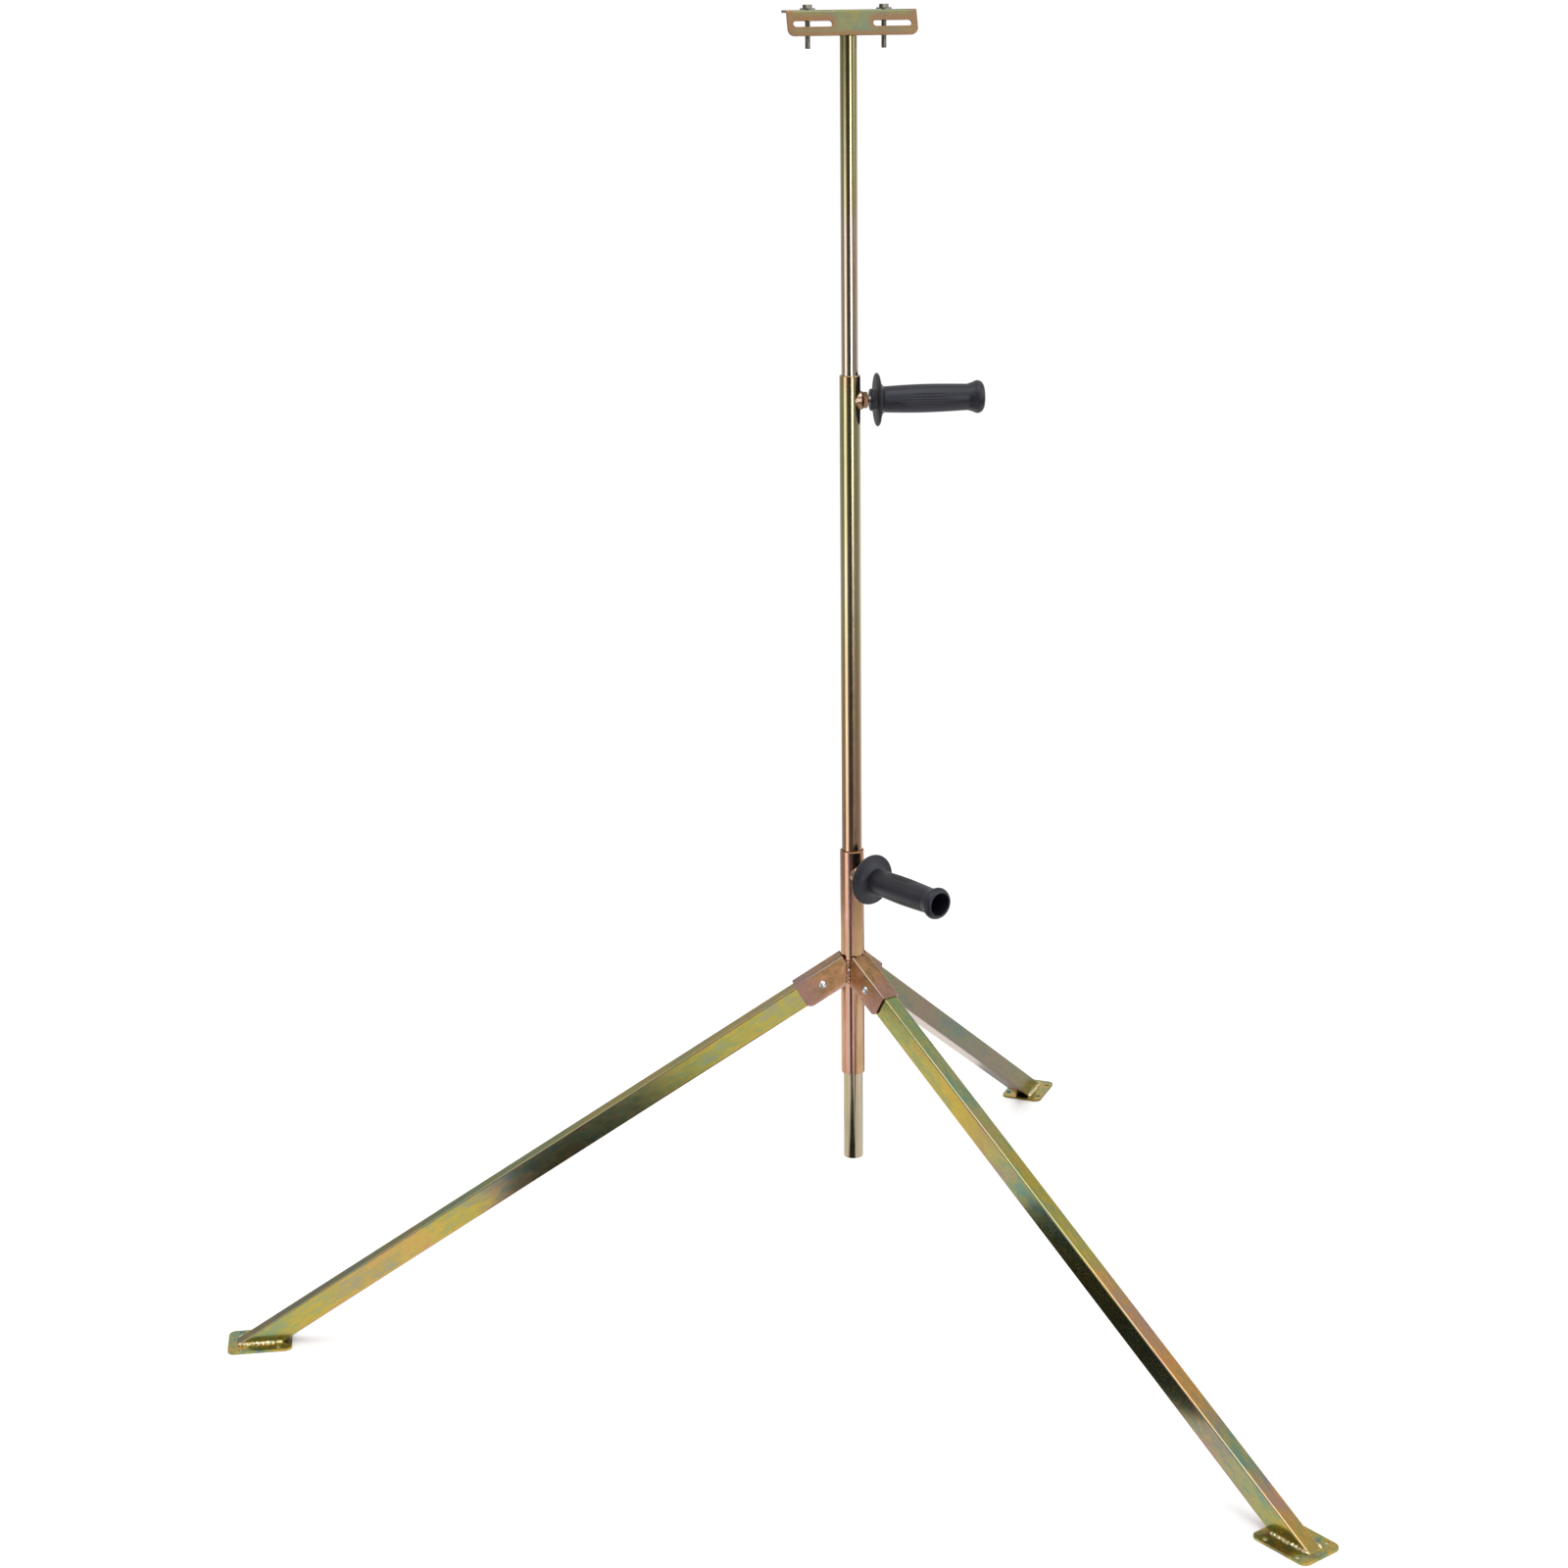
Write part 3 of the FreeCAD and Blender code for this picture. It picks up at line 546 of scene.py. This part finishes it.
def build_grip(name, clamp, body):
    """A hand grip: collar, guard flange, cone, fluted barrel and flared mouth, with a hollow inside."""
    collar = GRIP_OUTSIDE[:-1] + [(7.0, 13.3), (7.5, 14.2)]
    flange = spline(GRIP_FLANGE, 4)[:-1]
    cone = spline(GRIP_CONE, 8)[:-1]
    barrel = spline(GRIP_BARREL, 12)[:-1]
    flare = spline(GRIP_FLARE, 6)
    mouth = [(GRIP_LENGTH - 0.1, GRIP_MOUTH_R + 0.5), (GRIP_LENGTH - 0.6, GRIP_MOUTH_R),
             (GRIP_LENGTH - 1.5, GRIP_MOUTH_R - 0.2)]
    bore = [(GRIP_LENGTH - 12, GRIP_BORE_R), (GRIP_LENGTH - 40, GRIP_BORE_R), (GRIP_FLOOR + 1, GRIP_BORE_R)]
    floor = [(GRIP_FLOOR, GRIP_BORE_R - 1), (GRIP_FLOOR, GRIP_HOLE_R), (0.0, GRIP_HOLE_R)]
    profile = collar + flange + cone + barrel + flare + mouth + bore + floor
    grip = lathe(name, profile, GRIP_SEGMENTS, grip_radius(clamp["roll"]))
    grip.data.transform(moved(clamp["start"], 0, 0))
    grip.data.transform(turned(clamp["azimuth"]) @ moved(0, 0, clamp["height"]))
    finish_piece(grip, name, body, charcoal)


for clamp_name, clamp in CLAMPS.items():
    build_grip(f"{clamp_name}_grip", clamp, f"{clamp_name}_handle")


# ---------------------------------------------------------------- weld beads

BEAD_SEGMENTS, STATIONS_PER_LUMP = 28, 9


def bead(name, length, radius, seed, lumps, flatten=1.0, sunk=10.0):
    """A hand-laid weld bead along +X: overlapping ripples, uneven in width and height, at most sunk deep."""
    stations = lumps * STATIONS_PER_LUMP
    verts, faces = [], []
    for j in range(stations + 1):
        t = j / stations
        x = length * t
        ripple = abs(math.sin(math.pi * lumps * t + 0.5 * math.sin(5 * t + seed)))
        ends = min(1.0, math.sqrt(max(0.0, min(t, 1 - t)) * 14))
        for i in range(BEAD_SEGMENTS):
            angle = 2 * math.pi * i / BEAD_SEGMENTS
            wobble = noise.noise(Vector((x * 0.25 + seed * 7, math.cos(angle), math.sin(angle))))
            r = radius * ends * (0.70 + 0.24 * ripple + 0.26 * wobble)
            verts.append((x, r * math.cos(angle), max(r * math.sin(angle) * flatten, -sunk)))
    for j in range(stations):
        a, b = j * BEAD_SEGMENTS, (j + 1) * BEAD_SEGMENTS
        for i in range(BEAD_SEGMENTS):
            n = (i + 1) % BEAD_SEGMENTS
            faces.append((a + i, a + n, b + n, b + i))
    faces.append(tuple(range(BEAD_SEGMENTS - 1, -1, -1)))
    faces.append(tuple(stations * BEAD_SEGMENTS + i for i in range(BEAD_SEGMENTS)))
    return make_object(name, verts, faces)


def joined(objects, name):
    """One object made of several."""
    bpy.ops.object.select_all(action="DESELECT")
    for obj in objects:
        obj.select_set(True)
    bpy.context.view_layer.objects.active = objects[0]
    bpy.ops.object.join()
    objects[0].name = name
    return objects[0]


FOOT_BEAD_R, FOOT_BEAD_LUMPS, FOOT_BEAD_FLATTEN = 3.7, 10, 0.85
# Where a foot bead's middle line lies, off the leg's side and above the plate
FOOT_BEAD_OFF = 0.2
# How far below its middle line a foot bead may reach, which keeps it off the floor
FOOT_BEAD_SUNK = PLATE_THICKNESS - 0.5
FOOTPRINT = LEG_HEIGHT / math.sin(math.radians(LEG_SLOPE))
FOOT_RADIUS = PIVOT_RADIUS + (PIVOT_HEIGHT - PLATE_THICKNESS) / math.tan(math.radians(LEG_SLOPE))

for seed, (side, azimuth) in enumerate(LEG_AZIMUTHS.items()):
    beads = []
    for across in (-1, 1):
        piece = bead(f"foot_bead_{side}", FOOTPRINT, FOOT_BEAD_R, seed * 2 + across, FOOT_BEAD_LUMPS,
                     FOOT_BEAD_FLATTEN, FOOT_BEAD_SUNK)
        place = moved(FOOT_RADIUS - FOOTPRINT / 2, across * (LEG_WIDTH / 2 + FOOT_BEAD_OFF),
                      PLATE_THICKNESS + FOOT_BEAD_OFF)
        piece.data.transform(turned(azimuth) @ place)
        beads.append(piece)
    weld = joined(beads, f"foot_weld_{side}_bead")
    finish_piece(weld, f"foot_weld_{side}", f"leg_{side}", weld_bead)

HUB_BEAD_LENGTH, HUB_BEAD_R, HUB_BEAD_LUMPS = 31.0, 3.3, 6
HUB_BEAD_SEED = 11
# The hub beads stand beside the middle of the brackets' ends, just proud of the sleeve
HUB_BEAD_HEIGHT = PIVOT_HEIGHT + (PIVOT_RADIUS - SLEEVE_R) * math.tan(math.radians(LEG_SLOPE))
HUB_BEAD_PROUD = 0.3
UPRIGHT = Matrix.Rotation(math.radians(-90), 4, "Y")

hub_beads = []
for index in range(3):
    piece = bead(f"hub_bead_{index}", HUB_BEAD_LENGTH, HUB_BEAD_R, HUB_BEAD_SEED + index, HUB_BEAD_LUMPS)
    place = moved(SLEEVE_R + HUB_BEAD_PROUD, 0, HUB_BEAD_HEIGHT - HUB_BEAD_LENGTH / 2)
    piece.data.transform(turned(HUB_YAW + 120.0 * index) @ place @ UPRIGHT)
    hub_beads.append(piece)
finish_piece(joined(hub_beads, "hub_weld_bead_set"), "hub_weld_beads", "hub", hub_bead)


# ---------------------------------------------------------------- stage, light, camera

# The camera fitted to the photo: place in metres, angles in degrees, focal length in image widths
CAMERA_PLACE = Vector((-0.9444, -3.1477, 1.633))
CAMERA_HEADING = 74.76
CAMERA_PITCH = -15.862
CAMERA_ROLL = 0.658
FOCAL_RATIO, SENSOR_WIDTH = 2818.0 / 1600.0, 36.0
CAMERA_AZIMUTH = math.degrees(math.atan2(CAMERA_PLACE.y, CAMERA_PLACE.x))

# What the metal mirrors, by bearing from the camera's side, counter-clockwise from above
STUDIO = [(-180, 0.60), (-150, 0.34), (-132, 0.75), (-108, 0.38), (-80, 0.38), (-66, 0.30), (-47, 0.30),
          (-38, 0.25), (-27, 0.20), (-14, 0.07), (8, 0.08), (18, 0.28), (40, 0.42), (60, 0.34), (92, 0.42),
          (125, 0.95), (150, 1.15), (180, 0.75)]
# Higher up the room turns to one even level, between these two sines of elevation
STUDIO_TOP = 0.90
TOP_FROM, TOP_FULL = 0.12, 0.42
# Upright strip lights: each fades in between the sines of elevation foot and full, and out from ease to top
STRIPS = [
    {"bearing": 25.0, "wide": 11.0, "core": 6.0, "foot": -0.205, "full": -0.150, "ease": 0.10, "top": 0.42,
     "level": 5.0},
    {"bearing": -56.0, "wide": 20.0, "core": 10.0, "foot": -0.95, "full": -0.80, "ease": -0.055,
     "top": -0.015, "level": 2.1},
]
# Round spots of light: degrees of bearing and elevation, half angles of the whole spot and of its core
OVERHEAD = {"bearing": 0.0, "elevation": 68.0, "wide": 30.0, "core": 14.0, "level": 3.4}
SIDE_BOX = {"bearing": 74.0, "elevation": 25.0, "wide": 31.0, "core": 22.0, "level": 2.4}
# The level that lights the stand and fills the background
DOME = 1.08
# The round of paper that the metal mirrors, the floor beyond it and the sides of both circles
PAPER_RADIUS, FLOOR_RADIUS, CIRCLE_SIDES = 1.6, 60.0, 96
PAPER_WHITE = (0.95, 0.95, 0.95)
# Flags of painted floor shade: dark sheets lying on the paper, seen only in reflections: level, and outline
# in metres
FLAG_HEIGHT = 0.0006
FLAGS = [
    (0.02, [(0.07, -0.52), (-0.08, -0.66), (-0.31, -0.80), (-0.50, -0.48), (-0.46, -0.10), (-0.20, -0.04),
            (0.0, -0.25)]),
    (0.02, [(-0.32, -0.81), (-0.60, -1.45), (-1.15, -1.10), (-0.52, -0.52)]),
    (0.04, [(-0.05, -0.68), (0.11, -0.64), (0.30, -1.10), (0.00, -1.10)]),
    (0.40, [(0.34, 0.22), (1.50, 0.20), (1.15, 1.10), (0.42, 1.45)]),
]


def flat_material(name, colour):
    """Dull paper, or a dark sheet of painted shade, a trace uneven."""
    s = Shader(name)
    worn = tuple(c * 0.98 for c in colour)
    s.join(s.ramp(s.noise(3.0, 3.0), [(0.3, worn), (0.7, colour)]), s.surface.inputs["Base Color"])
    s.put("Roughness", 0.9)
    s.put("Specular IOR Level", 0.1)
    return s.material


def stage_sheet(name, corners, faces, material):
    """A flat sheet of the stage, from corners in metres."""
    mesh = bpy.data.meshes.new(name)
    mesh.from_pydata(corners, [], faces)
    obj = bpy.data.objects.new(name, mesh)
    obj.data.materials.append(material)
    bpy.context.scene.collection.objects.link(obj)
    return obj


paper = flat_material("paper", PAPER_WHITE)
circle = [(math.cos(math.tau * i / CIRCLE_SIDES), math.sin(math.tau * i / CIRCLE_SIDES))
          for i in range(CIRCLE_SIDES)]
inner_ring = [(x * PAPER_RADIUS, y * PAPER_RADIUS, 0) for x, y in circle]
outer_ring = [(x * FLOOR_RADIUS, y * FLOOR_RADIUS, 0) for x, y in circle]
ring_faces = []
for i in range(CIRCLE_SIDES):
    following = (i + 1) % CIRCLE_SIDES
    ring_faces.append((i, CIRCLE_SIDES + i, CIRCLE_SIDES + following, following))
stage_sheet("floor", inner_ring, [tuple(range(CIRCLE_SIDES))], paper)
surround = stage_sheet("floor_surround", inner_ring + outer_ring, ring_faces, paper)
surround.visible_glossy = False

for index, (shade, outline) in enumerate(FLAGS):
    # A dark sheet of painted floor shade, seen only in the metal's reflections
    reflected_shade = flat_material(f"flag_painted_shade_{index}", (shade, shade, shade))
    corners = [(x, y, FLAG_HEIGHT) for x, y in outline]
    flag = stage_sheet(f"flag_{index}", corners, [tuple(range(len(corners)))], reflected_shade)
    flag.visible_camera = False
    flag.visible_diffuse = False
    flag.visible_shadow = False


def grey(level):
    """A colourless light of a given level."""
    return (level, level, level)


def soft_spot(nodes, direction, bearing, elevation, wide, core):
    """1 within core degrees of a direction, 0 beyond wide degrees of it."""
    turn, rise = math.radians(bearing), math.radians(elevation)
    aim = nodes.add("ShaderNodeVectorMath", operation="DOT_PRODUCT")
    aim.inputs[1].default_value = (math.cos(turn) * math.cos(rise), math.sin(turn) * math.cos(rise),
                                   math.sin(rise))
    nodes.join(direction, aim.inputs[0])
    return nodes.step(aim.outputs["Value"], math.cos(math.radians(wide)), math.cos(math.radians(core)))


def mirrored_room(nodes):
    """What the metal mirrors: grey levels by bearing, an even top, strip lights and two spots."""
    coords = nodes.add("ShaderNodeTexCoord")
    turn = nodes.add("ShaderNodeVectorRotate", rotation_type="Z_AXIS")
    turn.inputs["Angle"].default_value = math.radians(-CAMERA_AZIMUTH)
    nodes.join(coords.outputs["Generated"], turn.inputs["Vector"])
    direction = turn.outputs[0]
    x, y, elevation = nodes.axes(direction)
    levels = [((bearing + 180) / 360, grey(level)) for bearing, level in STUDIO]
    room = nodes.ramp(nodes.around(direction), levels, "EASE")
    room = nodes.mix(nodes.step(elevation, TOP_FROM, TOP_FULL), room, grey(STUDIO_TOP))
    level_part = nodes.add("ShaderNodeCombineXYZ")
    nodes.join(x, level_part.inputs["X"])
    nodes.join(y, level_part.inputs["Y"])
    flat = nodes.add("ShaderNodeVectorMath", operation="NORMALIZE")
    nodes.join(level_part.outputs[0], flat.inputs[0])
    for strip in STRIPS:
        spot = soft_spot(nodes, flat.outputs[0], strip["bearing"], 0.0, strip["wide"], strip["core"])
        spot = nodes.math("MULTIPLY", spot, nodes.step(elevation, strip["foot"], strip["full"]))
        spot = nodes.math("MULTIPLY", spot, nodes.step(elevation, strip["top"], strip["ease"]))
        room = nodes.mix(spot, room, grey(strip["level"]))
    for box in (SIDE_BOX, OVERHEAD):
        spot = soft_spot(nodes, direction, box["bearing"], box["elevation"], box["wide"], box["core"])
        room = nodes.mix(spot, room, grey(box["level"]))
    return room


def studio_world():
    """An even white dome for the paper and the background; the metal mirrors a room of softboxes and gaps."""
    world = bpy.data.worlds.new("studio")
    world.use_nodes = True
    nodes = Nodes(world.node_tree)
    path = nodes.add("ShaderNodeLightPath")
    seen = nodes.mix(path.outputs["Is Glossy Ray"], grey(DOME), mirrored_room(nodes))
    nodes.join(seen, nodes.tree.nodes["Background"].inputs["Color"])
    bpy.context.scene.world = world


def softbox(name, bearing, distance, height):
    """A square light aimed at the middle of the stand, at a bearing from the camera's side."""
    data = bpy.data.lights.new(name, "AREA")
    data.shape = "RECTANGLE"
    data.size, data.size_y = SOFTBOX_SIDE, SOFTBOX_SIDE
    data.energy = SOFTBOX_POWER
    azimuth = math.radians(CAMERA_AZIMUTH + bearing)
    place = Vector((math.cos(azimuth) * distance, math.sin(azimuth) * distance, height))
    obj = bpy.data.objects.new(name, data)
    obj.location = place
    obj.rotation_euler = (SOFTBOX_AIM - place).to_track_quat("-Z", "Y").to_euler()
    bpy.context.scene.collection.objects.link(obj)
    obj.visible_glossy = False


SOFTBOX_SIDE, SOFTBOX_POWER = 3.0, 45
SOFTBOX_AIM = Vector((0, 0, 0.5))

studio_world()
softbox("key", bearing=40, distance=3.4, height=3.2)
softbox("top", bearing=-120, distance=1.2, height=4.0)

camera_data = bpy.data.cameras.new("camera")
camera_data.sensor_width = SENSOR_WIDTH
camera_data.lens = SENSOR_WIDTH * FOCAL_RATIO
camera_data.clip_end = 100.0
camera = bpy.data.objects.new("camera", camera_data)
heading, pitch, roll = (math.radians(v) for v in (CAMERA_HEADING, CAMERA_PITCH, CAMERA_ROLL))
forward = Vector((math.cos(heading) * math.cos(pitch), math.sin(heading) * math.cos(pitch), math.sin(pitch)))
right = forward.cross(Vector((0, 0, 1))).normalized()
up = right.cross(forward)
tilted_right = right * math.cos(roll) - up * math.sin(roll)
tilted_up = up * math.cos(roll) + right * math.sin(roll)
axes = Matrix((tilted_right, tilted_up, -forward)).transposed()
camera.matrix_world = Matrix.Translation(CAMERA_PLACE) @ axes.to_4x4()
bpy.context.scene.collection.objects.link(camera)
bpy.context.scene.camera = camera
bpy.context.scene.view_settings.view_transform = "Standard"
